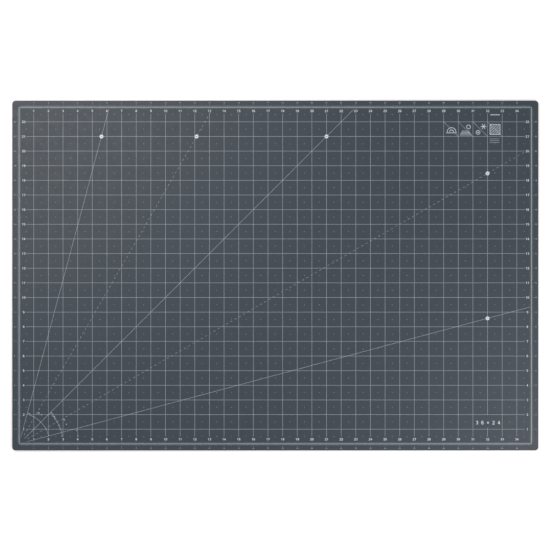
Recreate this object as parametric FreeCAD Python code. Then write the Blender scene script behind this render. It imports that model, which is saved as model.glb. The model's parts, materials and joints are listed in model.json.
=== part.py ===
"""A self healing cutting mat, 36 by 24 inches nominal: five bonded plies with a printed inch field.

The mat lies flat on the XY plane. The origin is the middle of its underside, X runs along the long side
and Z is up. Every length is in millimetres, except where a name or a comment says inches: the printed
field is laid out in whole inches, counted from the lower left corner of its border.
"""

import FreeCAD, Part
import functools
import math
import os

# Driving dimensions of the mat
MAT_WIDTH = 913.0
MAT_DEPTH = 607.0
CORNER_RADIUS = 6.0
CUT_EDGE_RADIUS = 0.3
PLY_STACK = (                       # node and thickness, from the underside up
    ("bottom_skin", 0.55),
    ("lower_filler_ply", 0.45),
    ("rigid_core", 1.0),
    ("upper_filler_ply", 0.45),
    ("top_skin", 0.55),
)

# Driving dimensions of the print
INCH = 25.4
COLUMNS = 35
ROWS = 23
INK_THICKNESS = 0.04
BORDER_LINE = 0.55
GRID_LINE = 0.32
CROSS_SPAN = 2.4
CROSS_LINE = 0.12

# Border rulers: how far a tick stands out from the middle of the border line, in inches
TICKS_PER_INCH = 8
RULER_TICK_LINE = 0.14              # millimetres
EIGHTH_INCH_TICK = 0.11
HALF_INCH_TICK = 0.13
INNER_INCH_TICK = 0.15
OUTER_INCH_TICK = 0.21

# Numerals: capital height, stroke width and the gap between two digits
INNER_NUMERAL = (4.0, 0.64, 0.5)
MARGIN_NUMERAL = (2.0, 0.27, 0.4)
DEGREE_NUMERAL = (2.6, 0.36, 0.4)
MARKER_NUMERAL = (2.2, 0.36, 0.35)
SIZE_NUMERAL = (6.4, 1.0, 5.3)
DIGIT_ASPECT = 0.66                 # width of a digit over its height
NUMERAL_CLEARANCE = 0.6

# Distance of the numerals from the border, and where the grid lines start inside it, in inches
INNER_OFFSET = {"bottom": 0.315, "top": 0.26, "left": 0.31, "right": 0.28}
GRID_START = {"bottom": 0.50, "top": 0.43, "left": 0.45, "right": 0.44}
MARGIN_OFFSET = 0.305

# Bias lines run from the border's lower left corner; the two dashed ones are in DASHED_ANGLES
ANGLES = (15, 30, 45, 60, 75)
DASHED_ANGLES = (30, 60)
DASHES_PER_INCH = 3
DASH_SHARE = 0.45
BIAS_LINE_START = 0.53              # inches from the corner, just past the reach of the ruler ticks
MARKER_RADIUS = 3.3
MARKER_ROW = 21                     # the steep lines carry their marker on this grid row
MARKER_COLUMN = 32                  # the shallow lines carry theirs on this grid column

# Corner protractor, in inches
INNER_ARC_RADIUS = 2.1
OUTER_ARC_RADIUS = 3.0
OUTER_ARC_END = 45                  # degrees
DEGREE_STEP = 5
DEGREE_TICK = 0.08
SECTOR_DOT_RADIUS = 0.85            # millimetres
DEGREE_LABEL_RADIUS = {75: 2.15, 60: 2.5, 45: 3.05, 30: 3.5, 15: 4.05}
DEGREE_LABEL_GAP = 0.8              # millimetres between a bias line and its number
ARC_LINE = 0.39

# Plain figures in a row of cells in the upper right, in inches from the border's corner
FIGURE_CELLS = range(29, 33)        # grid columns
FIGURE_ROW = 21
FIGURE_LINE = 0.92                  # millimetres
SLASH_LINE = 0.3                    # millimetres
ARCH_FIGURE = (29.54, 21.3)
ARCH_RADII = (0.14, 0.3)
ARCH_BASE = 0.74
PILE_FIGURE = (30.5, 21.37)         # middle of the top bar
PILE_TOP_BAR = 0.52
PILE_BARS = 4
PILE_PITCH = 0.09
PILE_LINE = 0.68                    # millimetres
PILE_RING = (30.7, 21.65)
STAR_FIGURE = (31.73, 21.68)
STAR_ARM = 0.2
STAR_RING = (31.35, 21.28)
SMALL_RING_RADIUS = 0.13
RING_DOT_RADIUS = 0.045
HATCHED_FIGURE = (32.51, 21.48)
HATCHED_SIDE = 0.72
HATCH_PITCH = 0.18

# Their captions: level bars below the hatched square and a row of dashes above it, in inches
CAPTION_LINE = 0.36                 # millimetres
LOWER_CAPTION = (32.47, 20.83)      # middle of the top bar
LOWER_CAPTION_BAR = 0.65
LOWER_CAPTION_BARS = 3
LOWER_CAPTION_PITCH = 0.12
UPPER_CAPTION = (32.51, 22.48)      # middle of the row
UPPER_CAPTION_DASH = 0.1
UPPER_CAPTION_DASHES = 5
UPPER_CAPTION_PITCH = 0.13
UPPER_CAPTION_HEIGHT = 1.4          # millimetres

# The size label in the lower right, in inches
SIZE_LABEL_CENTRE = (32.03, 1.45)
SIZE_LABEL_GAP = (1.1, 1.98)        # where the size label interrupts the grid line behind it
FIGURE_NODES = (
    "figure_arches",
    "figure_pile",
    "figure_star",
    "figure_hatched",
    "caption_bars",
    "size_label",
)

SIDES = ("bottom", "top", "left", "right")
TOP = sum(thickness for _, thickness in PLY_STACK)
UP = FreeCAD.Vector(0, 0, 1)


# ---------------------------------------------------------------- basic shapes

def at(x_inches, y_inches):
    """A point on the top face, in inches from the lower left corner of the printed border."""
    return FreeCAD.Vector((x_inches - COLUMNS / 2) * INCH, (y_inches - ROWS / 2) * INCH, TOP)


def polar(radius_inches, degrees):
    """A point on the top face, by its distance and direction from the border's lower left corner."""
    turn = math.radians(degrees)
    return at(radius_inches * math.cos(turn), radius_inches * math.sin(turn))


def film(outline):
    """Ink of the film's thickness inside a closed outline on the top face."""
    return Part.Face(outline).extrude(UP * INK_THICKNESS)


def polygon(points):
    """A film with straight sides."""
    return film(Part.makePolygon(points + [points[0]]))


def bar(start, end, width):
    """A straight printed line with square ends."""
    along = (end - start).normalize()
    side = UP.cross(along) * (width / 2)
    return polygon([start - side, end - side, end + side, start + side])


def block(centre, width, depth):
    """A printed rectangle about its centre."""
    return bar(centre - FreeCAD.Vector(width / 2, 0, 0), centre + FreeCAD.Vector(width / 2, 0, 0), depth)


def disc(centre, radius):
    """A printed round dot."""
    return film(Part.Wire([Part.makeCircle(radius, centre)]))


def ring(centre, radius, width):
    """A printed circle, by the radius of the middle of its line."""
    return disc(centre, radius + width / 2).cut(disc(centre, radius - width / 2))


def band(centre, radius, start_degrees, end_degrees, width):
    """A printed arc with square ends, by the radius of the middle of its line."""
    outer = Part.makeCircle(radius + width / 2, centre, UP, start_degrees, end_degrees)
    inner = Part.makeCircle(radius - width / 2, centre, UP, start_degrees, end_degrees)
    ends = [Part.makeLine(inner.valueAt(turn), outer.valueAt(turn)) for turn in outer.ParameterRange]
    return film(Part.Wire([outer, ends[1], inner, ends[0]]))


def group(shapes):
    """One node made of separate solids."""
    return Part.makeCompound([solid for shape in shapes for solid in shape.Solids])


def moved(shape, shift, turn_degrees=0):
    """A copy of a shape, turned about the origin and then shifted."""
    matrix = FreeCAD.Matrix()
    matrix.rotateZ(math.radians(turn_degrees))
    matrix.move(shift)
    return shape.transformed(matrix, True)


def near(shape, others):
    """Those of the other shapes whose boxes meet this one's."""
    return [other for other in others if shape.BoundBox.intersect(other.BoundBox)]


def clear_of(shapes, obstacles):
    """The shapes with whatever lies under the obstacles left out, since the ink is a single layer."""
    trimmed = []
    for shape in shapes:
        touched = near(shape, obstacles)
        trimmed.append(shape.cut(touched) if touched else shape)
    return trimmed


# ---------------------------------------------------------------- plies

def mat_outline(height):
    """The die-cut outline of the mat at one height: a rectangle with four round corners."""
    x_flat = MAT_WIDTH / 2 - CORNER_RADIUS
    y_flat = MAT_DEPTH / 2 - CORNER_RADIUS
    edges = []
    for quarter, (x_side, y_side) in enumerate(((1, 1), (-1, 1), (-1, -1), (1, -1))):
        centre = FreeCAD.Vector(x_side * x_flat, y_side * y_flat, height)
        edges.append(Part.makeCircle(CORNER_RADIUS, centre, UP, 90 * quarter, 90 * quarter + 90))
    ends = [(edge.valueAt(edge.FirstParameter), edge.valueAt(edge.LastParameter)) for edge in edges]
    for corner in range(4):
        edges.append(Part.makeLine(ends[corner][1], ends[(corner + 1) % 4][0]))
    return Part.Wire(Part.__sortEdges__(edges))


def ply(base, thickness):
    """One sheet of the laminate."""
    return Part.Face(mat_outline(base)).extrude(UP * thickness)


def ease_cut_edge(sheet, height):
    """Rounds the outer edge of a skin at one height, as the die leaves it."""
    rim = [edge for edge in sheet.Edges if all(abs(corner.Z - height) < 1e-6 for corner in edge.Vertexes)]
    return sheet.makeFillet(CUT_EDGE_RADIUS, rim)


def plies():
    """The five bonded sheets, from the underside up."""
    sheets = {}
    base = 0.0
    for name, thickness in PLY_STACK:
        sheets[name] = ply(base, thickness)
        base += thickness
    sheets["bottom_skin"] = ease_cut_edge(sheets["bottom_skin"], 0.0)
    sheets["top_skin"] = ease_cut_edge(sheets["top_skin"], TOP)
    return sheets


# ---------------------------------------------------------------- numerals

def digit_strokes(digit, width, height, line):
    """The strokes of one digit, whose middle lines fill a box of this width and height from the origin.

    Ends are given as shares of the box. Those outside it run past the digit and are trimmed off afterwards.
    """
    def p(x_share, y_share):
        return FreeCAD.Vector(width * x_share, height * y_share, 0)

    def straight(x1, y1, x2, y2):
        return bar(p(x1, y1), p(x2, y2), line)

    bowl = width / 2
    loop = height / 4
    low = FreeCAD.Vector(bowl, bowl, 0)
    high = FreeCAD.Vector(bowl, height - bowl, 0)
    lower = FreeCAD.Vector(bowl, loop, 0)
    upper = FreeCAD.Vector(bowl, height - loop, 0)
    shoulder = bowl / height
    left_side = straight(0, shoulder, 0, 1 - shoulder)
    right_side = straight(1, shoulder, 1, 1 - shoulder)
    if digit == "0":
        return [band(high, bowl, 0, 180, line), left_side, right_side, band(low, bowl, 180, 360, line)]
    if digit == "1":
        return [straight(0.6, -0.2, 0.6, 1.2), straight(0.1, 0.74, 0.6, 0.96)]
    if digit == "2":
        return [band(high, bowl, -45, 165, line), straight(0.87, 0.5, -0.1, -0.04), straight(-0.2, 0, 1.2, 0)]
    if digit == "3":
        return [band(upper, loop, -90, 160, line), band(lower, loop, -160, 90, line)]
    if digit == "4":
        stem, crossbar = straight(0.72, -0.2, 0.72, 1.2), straight(-0.2, 0.3, 1.2, 0.3)
        return [stem, crossbar, straight(-0.06, 0.24, 0.8, 1.08)]
    if digit == "5":
        return [straight(0.08, 1, 0.95, 1), straight(0.08, 1.2, 0.08, 0.52), band(low, bowl, -155, 140, line)]
    if digit == "6":
        return [ring(low, bowl, line), left_side, band(high, bowl, 35, 180, line)]
    if digit == "7":
        return [straight(-0.2, 1, 1.2, 1), straight(1.05, 1.1, 0.3, -0.2)]
    if digit == "8":
        return [ring(upper, loop, line), ring(lower, loop, line)]
    return [ring(high, bowl, line), right_side, band(low, bowl, -145, 0, line)]


@functools.lru_cache(maxsize=None)
def digit_film(digit, height, line):
    """One digit of this capital height, standing on the origin, trimmed square to its own box."""
    width = height * DIGIT_ASPECT
    strokes = digit_strokes(digit, width - line, height - line, line)
    whole = strokes[0].fuse(strokes[1:]).removeSplitter()
    frame = Part.makeBox(width, height, INK_THICKNESS, FreeCAD.Vector(-line / 2, -line / 2, 0))
    trimmed = whole.common(frame).removeSplitter()
    return moved(trimmed, FreeCAD.Vector(line / 2, line / 2, 0))


def numeral(number, centre, style, turn_degrees=0):
    """A whole number about its centre, as one solid for each digit."""
    height, line, gap = style
    width = height * DIGIT_ASPECT
    digits = str(number)
    start = -(len(digits) * width + (len(digits) - 1) * gap) / 2
    placed = []
    for index, digit in enumerate(digits):
        corner = FreeCAD.Vector(start + index * (width + gap), -height / 2, 0)
        placed.append(moved(moved(digit_film(digit, height, line), corner), centre, turn_degrees))
    return placed


def side_places(side, inward):
    """The numbered places along one side, this many inches inside the border (outside where negative)."""
    if side == "bottom":
        return [(number, at(number, inward)) for number in range(1, COLUMNS)]
    if side == "top":
        return [(number, at(number, ROWS - inward)) for number in range(1, COLUMNS)]
    if side == "left":
        return [(number, at(inward, number)) for number in range(1, ROWS)]
    return [(number, at(COLUMNS - inward, number)) for number in range(1, ROWS)]


def side_numerals(side, inward, style):
    """The row of numerals along one side of the border."""
    return [shape for number, place in side_places(side, inward) for shape in numeral(number, place, style)]


def numeral_zones(side):
    """The plain patches kept clear round the inner numerals of one side."""
    height, _, gap = INNER_NUMERAL
    zones = []
    for number, place in side_places(side, INNER_OFFSET[side]):
        count = len(str(number))
        width = count * height * DIGIT_ASPECT + (count - 1) * gap
        zones.append(block(place, width + 2 * NUMERAL_CLEARANCE, height + 2 * NUMERAL_CLEARANCE))
    return zones


# ---------------------------------------------------------------- grid, crosses and border

def grid_columns():
    """The upright grid lines, each in one piece but for the one that the size label interrupts."""
    lines = []
    for column in range(1, COLUMNS):
        start, end = GRID_START["bottom"], ROWS - GRID_START["top"]
        if column == MARKER_COLUMN:
            lines.append(bar(at(column, start), at(column, SIZE_LABEL_GAP[0]), GRID_LINE))
            start = SIZE_LABEL_GAP[1]
        lines.append(bar(at(column, start), at(column, end), GRID_LINE))
    return lines


def grid_rows():
    """The level grid lines, each broken where the upright ones cross it."""
    half = GRID_LINE / 2 / INCH
    lines = []
    for row in range(1, ROWS):
        for column in range(COLUMNS):
            start = column + half if column else GRID_START["left"]
            end = column + 1 - half if column < COLUMNS - 1 else COLUMNS - GRID_START["right"]
            lines.append(bar(at(start, row), at(end, row), GRID_LINE))
    return lines


def cross(centre):
    """A small plus sign."""
    reach, half = CROSS_SPAN / 2, CROSS_LINE / 2
    arm = ((half, half), (half, reach), (-half, reach))
    points = []
    for quarter in range(4):
        for x, y in arm:
            for _ in range(quarter):
                x, y = -y, x
            points.append(centre + FreeCAD.Vector(x, y, 0))
    return polygon(points)


def ruler_teeth(length_inches, inch_reach):
    """Distance along one side and reach of each ruler tick: longer at the inches and half inches."""
    teeth = []
    for step in range(1, length_inches * TICKS_PER_INCH):
        if step % TICKS_PER_INCH == 0:
            reach = inch_reach
        elif step % (TICKS_PER_INCH // 2) == 0:
            reach = HALF_INCH_TICK
        else:
            reach = EIGHTH_INCH_TICK
        teeth.append((step * INCH / TICKS_PER_INCH, reach * INCH))
    return teeth


def toothed_edge(length, side, teeth):
    """One edge of a border line, mitred at both ends, with ticks standing out to this side (1 in, -1 out)."""
    half = BORDER_LINE / 2
    points = [FreeCAD.Vector(side * half, side * half, 0)]
    for along, reach in teeth:
        left, right = along - RULER_TICK_LINE / 2, along + RULER_TICK_LINE / 2
        for x, y in ((left, half), (left, reach), (right, reach), (right, half)):
            points.append(FreeCAD.Vector(x, side * y, 0))
    points.append(FreeCAD.Vector(length - side * half, side * half, 0))
    return points


def border_ruler(side):
    """One side of the border with its ruler ticks on both edges."""
    corner, turn, length_inches = {
        "bottom": (at(0, 0), 0, COLUMNS),
        "right": (at(COLUMNS, 0), 90, ROWS),
        "top": (at(COLUMNS, ROWS), 180, COLUMNS),
        "left": (at(0, ROWS), 270, ROWS),
    }[side]
    length = length_inches * INCH
    outer = toothed_edge(length, -1, ruler_teeth(length_inches, OUTER_INCH_TICK))
    inner = toothed_edge(length, 1, ruler_teeth(length_inches, INNER_INCH_TICK))
    return moved(polygon(outer + inner[::-1]), corner, turn)


# ---------------------------------------------------------------- bias lines and protractor

def bias_length(angle):
    """Inches from the corner to the far border along one bias line, less the ruler ticks there."""
    turn = math.radians(angle)
    return min((COLUMNS - HALF_INCH_TICK) / math.cos(turn), (ROWS - HALF_INCH_TICK) / math.sin(turn))


def bias_line(angle):
    """One line from the corner across the field: whole, or as a row of dashes."""
    end = bias_length(angle)
    if angle not in DASHED_ANGLES:
        return [bar(polar(BIAS_LINE_START, angle), polar(end, angle), GRID_LINE)]
    first = math.ceil(BIAS_LINE_START * DASHES_PER_INCH)
    starts = [step / DASHES_PER_INCH for step in range(first, int(end * DASHES_PER_INCH))]
    dash = DASH_SHARE / DASHES_PER_INCH
    return [bar(polar(start, angle), polar(start + dash, angle), GRID_LINE) for start in starts]


def marker_place(angle):
    """Where a bias line carries its marker: on the marker row if it is steep, else on the marker column."""
    slope = math.tan(math.radians(angle))
    if angle >= 45:
        return at(MARKER_ROW / slope, MARKER_ROW)
    return at(MARKER_COLUMN, MARKER_COLUMN * slope)


def angle_marker(angle):
    """A round marker with the line's angle left open in it."""
    return disc(marker_place(angle), MARKER_RADIUS).cut(numeral(angle, marker_place(angle), MARKER_NUMERAL))


def degree_label(angle):
    """The angle's number beside its line, read from further out, and the plain patch round it."""
    height, _, gap = DEGREE_NUMERAL
    width = 2 * height * DIGIT_ASPECT + gap
    radius = DEGREE_LABEL_RADIUS[angle]
    beside = angle - math.degrees((width / 2 + DEGREE_LABEL_GAP) / (radius * INCH))
    centre = polar(radius, beside)
    turn = beside - 90
    patch = block(FreeCAD.Vector(), width + NUMERAL_CLEARANCE, height + NUMERAL_CLEARANCE)
    return numeral(angle, centre, DEGREE_NUMERAL, turn), moved(patch, centre, turn)


def degree_ticks():
    """Short ticks on both edges of the outer arc at every few degrees."""
    half = ARC_LINE / 2 / INCH
    ticks = []
    for turn in range(2 * DEGREE_STEP, OUTER_ARC_END, DEGREE_STEP):
        for near_end, far_end in ((-DEGREE_TICK, -half), (half, DEGREE_TICK)):
            ticks.append(bar(polar(OUTER_ARC_RADIUS + near_end, turn),
                             polar(OUTER_ARC_RADIUS + far_end, turn), ARC_LINE))
    return ticks


def sector_dots():
    """A dot half way from each bias line down to the next, as far out as the line's number."""
    half_sector = (ANGLES[1] - ANGLES[0]) / 2
    places = [polar(DEGREE_LABEL_RADIUS[angle], angle - half_sector) for angle in ANGLES[:-1]]
    return [disc(place, SECTOR_DOT_RADIUS) for place in places]


# ---------------------------------------------------------------- plain figures and size label

def small_ring(place):
    """One of the small rings among the figures."""
    return ring(at(*place), SMALL_RING_RADIUS * INCH, FIGURE_LINE)


def arch_figure():
    """Two nested arches on a base bar."""
    arches = [band(at(*ARCH_FIGURE), radius * INCH, 0, 180, FIGURE_LINE) for radius in ARCH_RADII]
    drop = FreeCAD.Vector(0, 1.5 * FIGURE_LINE, 0)
    return arches + [block(at(*ARCH_FIGURE) - drop, ARCH_BASE * INCH, FIGURE_LINE)]


def pile_figure():
    """A small ring over a pile of level bars that grow longer downwards."""
    x, y = PILE_FIGURE
    pile = [block(at(x, y - PILE_PITCH * step), (PILE_TOP_BAR + PILE_PITCH * step) * INCH, PILE_LINE)
            for step in range(PILE_BARS)]
    return pile + [small_ring(PILE_RING)]


def star_figure():
    """A six-armed star beside a small ring with a dot in it."""
    arm = FreeCAD.Vector(STAR_ARM * INCH, 0, 0)
    arms = [moved(bar(arm, -arm, FIGURE_LINE), at(*STAR_FIGURE), turn) for turn in (0, 60, 120)]
    ring_dot = disc(at(*STAR_RING), RING_DOT_RADIUS * INCH)
    return [arms[0].fuse(arms[1:]).removeSplitter(), small_ring(STAR_RING), ring_dot]


def hatched_figure():
    """A square frame filled with slanting lines."""
    centre = at(*HATCHED_FIGURE)
    side = HATCHED_SIDE * INCH
    opening = side - 2 * FIGURE_LINE
    frame = block(centre, side, side).cut(block(centre, opening, opening))
    hatching = block(centre, opening - FIGURE_LINE, opening - FIGURE_LINE)
    slant = FreeCAD.Vector(side, side, 0)
    reach = round(HATCHED_SIDE / HATCH_PITCH) - 1
    shifts = [FreeCAD.Vector(step * HATCH_PITCH * INCH, 0, 0) for step in range(-reach, reach + 1)]
    lines = [bar(centre + shift - slant, centre + shift + slant, FIGURE_LINE) for shift in shifts]
    return [frame] + [line.common(hatching) for line in lines]


def figure_slashes():
    """A thin line slanting down to the right across each figure's cell."""
    return [bar(at(cell, FIGURE_ROW + 1), at(cell + 1, FIGURE_ROW), SLASH_LINE) for cell in FIGURE_CELLS]


def caption_bars():
    """Plain bars in place of small print: level lines below the hatched square, a row of dashes above it."""
    x, y = LOWER_CAPTION
    lower = [block(at(x, y - LOWER_CAPTION_PITCH * step), LOWER_CAPTION_BAR * INCH, CAPTION_LINE)
             for step in range(LOWER_CAPTION_BARS)]
    x, y = UPPER_CAPTION
    first = x - (UPPER_CAPTION_DASHES - 1) / 2 * UPPER_CAPTION_PITCH
    upper = [block(at(first + UPPER_CAPTION_PITCH * step, y), UPPER_CAPTION_DASH * INCH, UPPER_CAPTION_HEIGHT)
             for step in range(UPPER_CAPTION_DASHES)]
    return lower + upper


def size_label():
    """The nominal size, 36 by 24, as widely spaced digits with a multiplication cross between them."""
    height, line, gap = SIZE_NUMERAL
    width = height * DIGIT_ASPECT
    centre = at(*SIZE_LABEL_CENTRE)
    side = FreeCAD.Vector(1.5 * (width + gap), 0, 0)
    arm = FreeCAD.Vector(width / 2, 0, 0)
    strokes = [moved(bar(-arm, arm, line), centre, turn) for turn in (45, 135)]
    shapes = [strokes[0].fuse(strokes[1]).removeSplitter()]
    for number, way in ((36, -1), (24, 1)):
        shapes += numeral(number, centre + side * way, SIZE_NUMERAL)
    return shapes


# ---------------------------------------------------------------- the whole mat

def spare_cell(column, row, figures):
    """Whether the middle of a cell is clear of the bias lines, the arcs and the boxes of the figures."""
    x, y = column + 0.5, row + 0.5
    reach = (CROSS_SPAN / 2 + GRID_LINE) / INCH
    radius = math.hypot(x, y)
    for angle in ANGLES:
        turn = math.radians(angle)
        if abs(y * math.cos(turn) - x * math.sin(turn)) < reach:
            return False
    if min(abs(radius - INNER_ARC_RADIUS), abs(radius - OUTER_ARC_RADIUS)) < reach:
        return False
    return not near(cross(at(x, y)), figures)


def printed_nodes():
    """Every printed node by name, with the ink kept to a single layer."""
    nodes = {}
    for side in SIDES:
        nodes["border_ruler_" + side] = [border_ruler(side)]
        nodes["inner_numbers_" + side] = side_numerals(side, INNER_OFFSET[side], INNER_NUMERAL)
        nodes["margin_numbers_" + side] = side_numerals(side, -MARGIN_OFFSET, MARGIN_NUMERAL)

    labels = [degree_label(angle) for angle in ANGLES]
    patches = [patch for _, patch in labels]
    discs = [disc(marker_place(angle), MARKER_RADIUS) for angle in ANGLES]
    nodes["angle_markers"] = [angle_marker(angle) for angle in ANGLES]
    nodes["protractor_numbers"] = [shape for number, _ in labels for shape in number]
    nodes["grid_columns"] = clear_of(grid_columns(), patches + discs)
    nodes["grid_rows"] = clear_of(grid_rows(), patches + discs)

    left, right = GRID_START["left"], COLUMNS - GRID_START["right"]
    grid = grid_columns() + [bar(at(left, row), at(right, row), GRID_LINE) for row in range(1, ROWS)]
    zones = patches + discs + [zone for side in SIDES for zone in numeral_zones(side)]
    for angle in ANGLES:
        nodes["bias_line_%d" % angle] = clear_of(bias_line(angle), grid + zones)

    crossing = grid + zones + [shape for angle in ANGLES for shape in bias_line(angle)]
    inner_arc = band(at(0, 0), INNER_ARC_RADIUS * INCH, ANGLES[0], ANGLES[-1], ARC_LINE)
    outer_arc = band(at(0, 0), OUTER_ARC_RADIUS * INCH, 2 * DEGREE_STEP, OUTER_ARC_END, ARC_LINE)
    nodes["protractor_inner_arc"] = clear_of([inner_arc], crossing)
    nodes["protractor_outer_arc"] = clear_of([outer_arc], crossing)
    nodes["protractor_ticks"] = clear_of(degree_ticks(), crossing)
    nodes["protractor_dots"] = clear_of(sector_dots(), grid)

    nodes["figure_arches"] = arch_figure()
    nodes["figure_pile"] = pile_figure()
    nodes["figure_star"] = star_figure()
    nodes["figure_hatched"] = hatched_figure()
    nodes["caption_bars"] = caption_bars()
    nodes["size_label"] = size_label()
    figures = [shape for name in FIGURE_NODES for shape in nodes[name]]
    nodes["figure_slashes"] = clear_of(figure_slashes(), grid + figures)

    figure_boxes = patches + [group(nodes[name]) for name in FIGURE_NODES]
    nodes["half_inch_crosses"] = [cross(at(column + 0.5, row + 0.5)) for column in range(COLUMNS)
                                  for row in range(ROWS) if spare_cell(column, row, figure_boxes)]
    return {name: group(shapes) for name, shapes in nodes.items()}


def main():
    """Writes one STEP file for each ply and each printed node."""
    os.makedirs("parts", exist_ok=True)
    for name, shape in {**plies(), **printed_nodes()}.items():
        shape.exportStep(os.path.join("parts", name + ".step"))


main()
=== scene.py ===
import json

import bmesh
import bpy
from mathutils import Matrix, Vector


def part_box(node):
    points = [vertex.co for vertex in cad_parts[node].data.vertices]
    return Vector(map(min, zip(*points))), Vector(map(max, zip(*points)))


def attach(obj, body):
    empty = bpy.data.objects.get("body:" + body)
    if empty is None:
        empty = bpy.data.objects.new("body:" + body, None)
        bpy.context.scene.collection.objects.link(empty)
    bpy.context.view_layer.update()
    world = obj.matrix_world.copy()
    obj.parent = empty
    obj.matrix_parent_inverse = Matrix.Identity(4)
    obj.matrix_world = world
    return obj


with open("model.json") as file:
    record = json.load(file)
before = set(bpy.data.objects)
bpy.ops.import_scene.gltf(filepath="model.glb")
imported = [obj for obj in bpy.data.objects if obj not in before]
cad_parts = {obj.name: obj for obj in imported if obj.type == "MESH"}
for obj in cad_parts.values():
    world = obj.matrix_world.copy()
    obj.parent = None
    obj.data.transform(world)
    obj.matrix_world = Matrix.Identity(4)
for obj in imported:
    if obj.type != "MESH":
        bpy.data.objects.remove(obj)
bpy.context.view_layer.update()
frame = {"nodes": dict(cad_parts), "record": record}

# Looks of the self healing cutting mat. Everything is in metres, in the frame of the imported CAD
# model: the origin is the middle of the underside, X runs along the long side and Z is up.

NODES = frame["nodes"]
MM = 0.001

# The printed field, as the CAD lays it out
INCH = 25.4 * MM
COLUMNS = 35
ROWS = 23
TOP_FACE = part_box("top_skin")[1].z
MAT_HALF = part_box("top_skin")[1].xy
INK_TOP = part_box("grid_columns")[1].z

# Fine ruler ticks, half way between the eighth-inch ticks of the CAD's border rulers
BORDER_LINE = 0.55 * MM
FINE_TICKS_PER_INCH = 8
FINE_TICK_WIDTH = 0.14 * MM
FINE_TICK_REACH = 0.1 * INCH        # from the middle of the border line

# Colours of the plies, and the ink's colour at full cover
SLATE = (0.0178, 0.0331, 0.047)
UNDERSIDE_SHADE = 0.92
FILLER_BLACK = (0.032, 0.036, 0.042)
CORE_GREY = (0.11, 0.12, 0.13)
INK_WHITE = (0.53, 0.61, 0.66)

# How bright each ink is against INK_WHITE, and how much of the mat it hides
INKS = {
    "grid_ink": (0.87, 0.9),
    "border_ink": (0.86, 0.92),
    "numeral_ink": (0.99, 0.97),
    "margin_ink": (0.83, 0.9),
    "fine_ink": (0.82, 0.9),
    "marker_ink": (1.04, 0.98),
    "figure_ink": (0.94, 0.9),
}

# Skins: sizes of the patterns in the soft PVC, depths of its relief, and how far in from the cut
# edge it is painted paler, partly as handling wear and partly as a painted highlight along the edge
CLOUD_SIZE = 160 * MM
MOTTLE_SIZE = 9 * MM
GRAIN_SIZE = 0.7 * MM
GRAIN_DEPTH = 0.04 * MM
PEBBLE_SIZE = 0.8 * MM
PEBBLE_DEPTH = 0.06 * MM
WEAR_AND_HIGHLIGHT_PATCH_SIZE = 6 * MM
WEAR_AND_HIGHLIGHT_REACH = 1.2 * MM

# Inner plies: roughness, and the marks that the die leaves at the cut edge
FILLER_ROUGHNESS = 0.72
CORE_ROUGHNESS = 0.5
ROUGHNESS_SWING = 0.08
FILLER_STROKE = 0.5 * MM
CORE_STROKE = 0.3 * MM
STROKE_STRETCH = (1.0, 1.0, 0.08)
STROKE_DEPTH = 0.05 * MM
FLECK_SIZE = 0.25 * MM

# Ink: sizes of its unevenness and its grain, and the depth of its relief
INK_CLOUD_SIZE = 14 * MM
INK_GRAIN_SIZE = 0.35 * MM
INK_GRAIN_DEPTH = 0.015 * MM

# Camera: the view's width at the mat's top face, and its middle there
SENSOR_WIDTH = 36.0
LENS = 100.0
FAR_CLIP = 50.0
VIEW_WIDTH = 0.9543
VIEW_CENTRE = (-0.5 * MM, 0.9 * MM)

# Floor, sky and two soft boxes, each by its place, size, power in watts and colour
FLOOR_HALF = 6.0
FLOOR_ROUGHNESS = 0.9
PALE = (0.97, 0.97, 0.97, 1.0)
SKY_WHITE = (1.0, 1.0, 1.0, 1.0)
SKY_STRENGTH = 0.72
SOFT_BOXES = {
    "upper_left_soft_box": ((-0.6, 0.5, 0.9), 1.0, 7.4, (1.0, 0.86, 0.82)),
    "lower_right_soft_box": ((0.9, -0.6, 0.9), 0.8, 7.8, (1.0, 0.9, 0.88)),
}


# ---------------------------------------------------------------- node helpers

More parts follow.
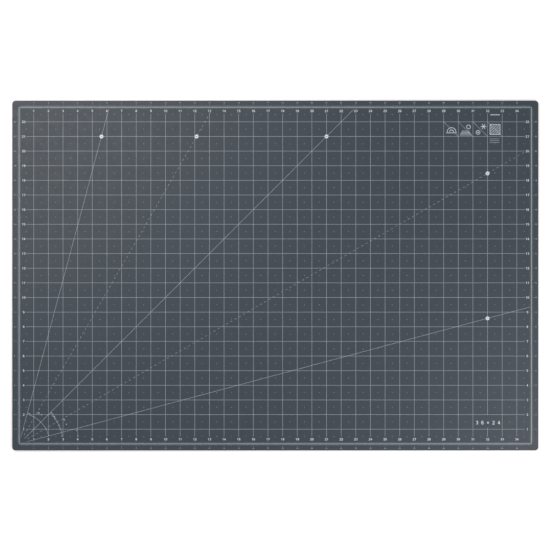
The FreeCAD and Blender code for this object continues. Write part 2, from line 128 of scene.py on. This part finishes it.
class Look:
    """A procedural material under construction, with short ways to add and link its nodes."""

    def __init__(self, name):
        self.material = bpy.data.materials.new(name)
        self.material.use_nodes = True
        self.tree = self.material.node_tree
        self.shader = self.tree.nodes["Principled BSDF"]
        self.place = self.tree.nodes.new("ShaderNodeTexCoord").outputs["Object"]

    def add(self, kind, **values):
        """A new node; values are set on its inputs by name, with a space for each underscore."""
        node = self.tree.nodes.new(kind)
        for name, value in values.items():
            self.feed(node.inputs[name.replace("_", " ")], value)
        return node

    def feed(self, socket, value):
        """Sets a socket to a number or colour, or links an output to it."""
        if isinstance(value, bpy.types.NodeSocket):
            self.tree.links.new(value, socket)
        else:
            socket.default_value = value

    def math(self, operation, first, second=0.0):
        """One sum on two values."""
        node = self.tree.nodes.new("ShaderNodeMath")
        node.operation = operation
        self.feed(node.inputs[0], first)
        self.feed(node.inputs[1], second)
        return node.outputs[0]

    def spread(self, value, low, high, new_low=0.0, new_high=1.0):
        """The value's range from low to high, eased into a new range."""
        node = self.add("ShaderNodeMapRange", Value=value, From_Min=low, From_Max=high)
        node.interpolation_type = "SMOOTHSTEP"
        node.inputs["To Min"].default_value = new_low
        node.inputs["To Max"].default_value = new_high
        return node.outputs["Result"]

    def stretched(self, scale):
        """The place on the object, scaled by axis, for a pattern that runs one way."""
        return self.add("ShaderNodeMapping", Vector=self.place, Scale=scale).outputs["Vector"]

    def noise(self, size, detail=2.0, place=None):
        """Soft random blotches of about this size in metres."""
        place = place or self.place
        node = self.add("ShaderNodeTexNoise", Vector=place, Scale=1.0 / size, Detail=detail)
        return node.outputs["Fac"]

    def pebbles(self, size):
        """Distance from the nearest of many random points: a leather-like pebble grain."""
        node = self.add("ShaderNodeTexVoronoi", Vector=self.place, Scale=1.0 / size)
        node.feature = "SMOOTH_F1"
        return node.outputs["Distance"]

    def mix(self, share, first, second):
        """A blend of two colours."""
        node = self.tree.nodes.new("ShaderNodeMix")
        node.data_type = "RGBA"
        self.feed(node.inputs["Factor"], share)
        self.feed(node.inputs["A"], first)
        self.feed(node.inputs["B"], second)
        return node.outputs["Result"]

    def relief(self, height, depth, under=None):
        """Bump of this depth in metres, on top of another bump if one is given."""
        node = self.add("ShaderNodeBump", Height=height, Strength=1.0, Distance=depth)
        if under is not None:
            self.feed(node.inputs["Normal"], under)
        return node.outputs["Normal"]

    def rim(self, width):
        """1 at the mat's cut edge, falling to 0 this far in from it."""
        axes = self.add("ShaderNodeSeparateXYZ", Vector=self.place)
        gap_x = self.math("SUBTRACT", MAT_HALF.x, self.math("ABSOLUTE", axes.outputs["X"]))
        gap_y = self.math("SUBTRACT", MAT_HALF.y, self.math("ABSOLUTE", axes.outputs["Y"]))
        return self.spread(self.math("MINIMUM", gap_x, gap_y), 0.0, width, 1.0, 0.0)


def tone(colour, factor):
    """A colour made lighter or darker."""
    return tuple(channel * factor for channel in colour[:3]) + (1.0,)


# ---------------------------------------------------------------- materials

def soft_pvc(name, colour):
    """Matte, fine-grained soft PVC of a skin, painted a little paler at its cut edge: partly
    handling wear, partly a painted highlight.
    """
    look = Look(name)
    clouds = look.noise(CLOUD_SIZE, 1.0)
    mottle = look.noise(MOTTLE_SIZE, 3.0)
    grain = look.noise(GRAIN_SIZE, 2.0)
    body = look.mix(look.spread(clouds, 0.3, 0.7), tone(colour, 0.97), tone(colour, 1.03))
    body = look.mix(look.spread(mottle, 0.35, 0.65, 0.0, 0.25), body, tone(colour, 1.1))
    body = look.mix(look.spread(grain, 0.3, 0.7, 0.0, 0.3), body, tone(colour, 0.82))
    # The cut edge is painted paler in random patches: partly handling wear, partly a painted
    # highlight along the edge
    wear_and_highlight_patches = look.spread(look.noise(WEAR_AND_HIGHLIGHT_PATCH_SIZE, 4.0), 0.4, 0.7, 0.1, 0.6)
    edge_wear_and_painted_highlight = look.math("MULTIPLY", look.rim(WEAR_AND_HIGHLIGHT_REACH), wear_and_highlight_patches)
    look.feed(look.shader.inputs["Base Color"], look.mix(edge_wear_and_painted_highlight, body, tone(colour, 1.9)))
    look.feed(look.shader.inputs["Roughness"], look.spread(mottle, 0.3, 0.7, 0.42, 0.52))
    look.shader.inputs["Specular IOR Level"].default_value = 0.5
    pebbled = look.relief(look.pebbles(PEBBLE_SIZE), PEBBLE_DEPTH)
    look.feed(look.shader.inputs["Normal"], look.relief(grain, GRAIN_DEPTH, pebbled))
    return look.material


def inner_ply(name, colour, roughness, stroke):
    """A sheet seen only at the cut edge, marked by fine strokes of the die from top to bottom."""
    look = Look(name)
    strokes = look.noise(stroke, 3.0, look.stretched(STROKE_STRETCH))
    flecks = look.noise(FLECK_SIZE, 2.0)
    body = look.mix(look.spread(strokes, 0.35, 0.65), tone(colour, 0.85), tone(colour, 1.15))
    body = look.mix(look.spread(flecks, 0.55, 0.75, 0.0, 0.5), body, tone(colour, 1.5))
    look.feed(look.shader.inputs["Base Color"], body)
    low, high = roughness - ROUGHNESS_SWING, roughness + ROUGHNESS_SWING
    gloss = look.spread(strokes, 0.3, 0.7, low, high)
    look.feed(look.shader.inputs["Roughness"], gloss)
    look.shader.inputs["Specular IOR Level"].default_value = 0.35
    look.feed(look.shader.inputs["Normal"], look.relief(strokes, STROKE_DEPTH))
    return look.material


def screen_ink(name, colour, cover):
    """Matte screen ink: slightly uneven, with the mat's grain and a few pinholes showing through."""
    look = Look(name)
    density = look.noise(INK_CLOUD_SIZE, 2.0)
    grain = look.noise(INK_GRAIN_SIZE, 3.0)
    body = look.mix(look.spread(density, 0.35, 0.65), tone(colour, 0.95), tone(colour, 1.03))
    thin = look.spread(grain, 0.2 + 0.25 * cover, 0.75, 1.0 - cover, 0.0)
    look.feed(look.shader.inputs["Base Color"], look.mix(thin, body, tone(colour, 0.35)))
    look.feed(look.shader.inputs["Roughness"], look.spread(grain, 0.3, 0.7, 0.55, 0.7))
    look.shader.inputs["Specular IOR Level"].default_value = 0.3
    look.feed(look.shader.inputs["Normal"], look.relief(grain, INK_GRAIN_DEPTH))
    return look.material


def all_materials():
    """One material for each of the record's slots."""
    looks = {
        "top_skin": soft_pvc("soft_pvc_top", SLATE),
        "bottom_skin": soft_pvc("soft_pvc_underside", tone(SLATE, UNDERSIDE_SHADE)),
        "filler_ply": inner_ply("filler_pvc", FILLER_BLACK, FILLER_ROUGHNESS, FILLER_STROKE),
        "rigid_core": inner_ply("core_pvc", CORE_GREY, CORE_ROUGHNESS, CORE_STROKE),
    }
    for slot, (brightness, cover) in INKS.items():
        looks[slot] = screen_ink("screen_ink_" + slot, tone(INK_WHITE, brightness), cover)
    return looks


# ---------------------------------------------------------------- pieces

def mesh_piece(name, mesh_data, material):
    """A new piece of the mat from a bmesh, riding on its one body."""
    mesh = bpy.data.meshes.new(name)
    mesh_data.to_mesh(mesh)
    mesh_data.free()
    piece = bpy.data.objects.new(name, mesh)
    bpy.context.scene.collection.objects.link(piece)
    mesh.materials.append(material)
    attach(piece, "root")
    return piece


def add_bar(mesh_data, low, high):
    """A closed straight-sided solid between two opposite corners."""
    corners = []
    for z in (low.z, high.z):
        for x, y in ((low.x, low.y), (high.x, low.y), (high.x, high.y), (low.x, high.y)):
            corners.append(mesh_data.verts.new((x, y, z)))
    mesh_data.faces.new(corners[3::-1])
    mesh_data.faces.new(corners[4:])
    for first in range(4):
        second = (first + 1) % 4
        side = (corners[first], corners[second], corners[second + 4], corners[first + 4])
        mesh_data.faces.new(side)


def fine_ticks(side, material):
    """The sixteenth-inch ticks along one side of the border, on both edges of its line.

    The first and last are left out, where two sides' ticks would cross.
    """
    mesh_data = bmesh.new()
    level = side in ("bottom", "top")
    squares, across = (COLUMNS, ROWS) if level else (ROWS, COLUMNS)
    way = -1 if side in ("bottom", "left") else 1
    border = way * across * INCH / 2
    for step in range(1, squares * FINE_TICKS_PER_INCH - 1):
        along = ((step + 0.5) / FINE_TICKS_PER_INCH - squares / 2) * INCH
        for edge in (-1, 1):
            ends = sorted((border + edge * BORDER_LINE / 2, border + edge * FINE_TICK_REACH))
            low = (along - FINE_TICK_WIDTH / 2, ends[0])
            high = (along + FINE_TICK_WIDTH / 2, ends[1])
            if not level:
                low, high = low[::-1], high[::-1]
            add_bar(mesh_data, Vector((*low, TOP_FACE)), Vector((*high, INK_TOP)))
    return mesh_piece("fine_ticks_" + side, mesh_data, material)


# ---------------------------------------------------------------- floor, light and camera

def stage_floor():
    """A plain pale floor far wider than the mat."""
    mesh_data = bmesh.new()
    bmesh.ops.create_grid(mesh_data, size=FLOOR_HALF)
    mesh = bpy.data.meshes.new("floor")
    mesh_data.to_mesh(mesh)
    mesh_data.free()
    floor = bpy.data.objects.new("floor", mesh)
    bpy.context.scene.collection.objects.link(floor)
    look = Look("pale_floor")
    look.shader.inputs["Base Color"].default_value = PALE
    look.shader.inputs["Roughness"].default_value = FLOOR_ROUGHNESS
    look.shader.inputs["Specular IOR Level"].default_value = 0.0
    mesh.materials.append(look.material)


def soft_box(name, place, size, power, colour):
    """A square soft box that faces the middle of the mat."""
    light = bpy.data.lights.new(name, "AREA")
    light.shape = "SQUARE"
    light.size = size
    light.energy = power
    light.color = colour
    box = bpy.data.objects.new(name, light)
    bpy.context.scene.collection.objects.link(box)
    box.location = place
    box.rotation_euler = (-Vector(place)).to_track_quat("-Z", "Y").to_euler()
    box.visible_camera = False


def sky():
    """An even pale surround."""
    world = bpy.data.worlds.new("studio")
    bpy.context.scene.world = world
    world.use_nodes = True
    background = world.node_tree.nodes["Background"]
    background.inputs["Color"].default_value = SKY_WHITE
    background.inputs["Strength"].default_value = SKY_STRENGTH


def camera():
    """Straight above the middle of the mat."""
    data = bpy.data.cameras.new("camera")
    data.sensor_width = SENSOR_WIDTH
    data.lens = LENS
    data.clip_end = FAR_CLIP
    eye = bpy.data.objects.new("camera", data)
    bpy.context.scene.collection.objects.link(eye)
    height = TOP_FACE + VIEW_WIDTH * LENS / SENSOR_WIDTH
    eye.location = (VIEW_CENTRE[0], VIEW_CENTRE[1], height)
    bpy.context.scene.camera = eye


# ---------------------------------------------------------------- the whole scene

LOOKS = all_materials()
for subpart in frame["record"]["subparts"]:
    NODES[subpart["node"]].material_slots[0].material = LOOKS[subpart["material_slot"]]
for border_side in ("bottom", "top", "left", "right"):
    fine_ticks(border_side, LOOKS["border_ink"])

stage_floor()
sky()
for box_name, box_values in SOFT_BOXES.items():
    soft_box(box_name, *box_values)
camera()
bpy.context.scene.view_settings.view_transform = "Standard"
